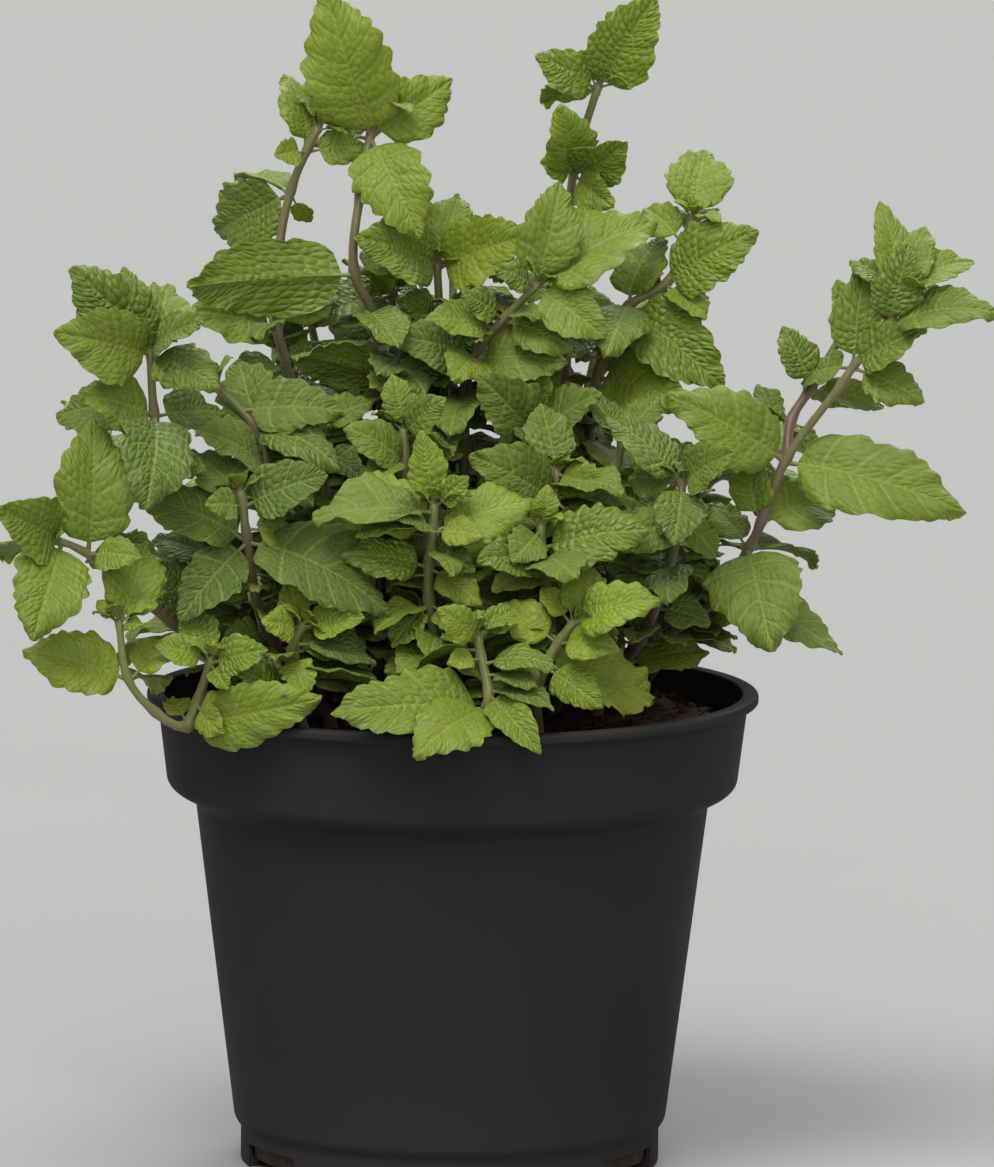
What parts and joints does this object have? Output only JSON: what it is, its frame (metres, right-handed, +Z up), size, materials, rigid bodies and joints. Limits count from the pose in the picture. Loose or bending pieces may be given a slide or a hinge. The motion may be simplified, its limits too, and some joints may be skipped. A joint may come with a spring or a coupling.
{
  "type": "potted mint plant",
  "caption": "Bushy mint plant with toothed, puckered leaves on square stems, growing from dark soil in a tapered black plastic pot.",
  "frame": {"origin": "centre of the pot's underside, on the surface that it stands on", "axes": "+Z upwards along the pot's axis, -Y towards the front of the plant, +X to the right"},
  "size_m": [0.2109, 0.1651, 0.2507],
  "materials": {
    "pot_plastic": "satin, slightly ribbed by its moulding",
    "soil": "loose, fibrous, damp",
    "mint": "puckered leaf with a soft sheen"
  },
  "bodies": {
    "root": {"pot": "pot_plastic", "soil": "soil", "front_low": "mint", "front_right": "mint", "front_left": "mint", "rim_left": "mint", "front_mid": "mint", "left_centre": "mint", "mid_right": "mint", "right_low": "mint", "left_mid": "mint", "left_upper": "mint", "right_branch": "mint", "centre_low": "mint", "left_back_low": "mint", "centre_left_low": "mint", "centre_right_low": "mint", "curly_left": "mint", "centre_mid": "mint", "right_back_low": "mint", "centre_tall": "mint", "small_mid": "mint", "tall_left": "mint", "centre_left": "mint", "right_tall": "mint", "mid_tall": "mint", "mid_left_back": "mint", "tall_right": "mint", "right_mid_back": "mint", "back_1": "mint", "back_2": "mint", "back_3": "mint", "back_4": "mint", "back_5": "mint", "back_6": "mint", "back_7": "mint"}
  },
  "joints": []
}
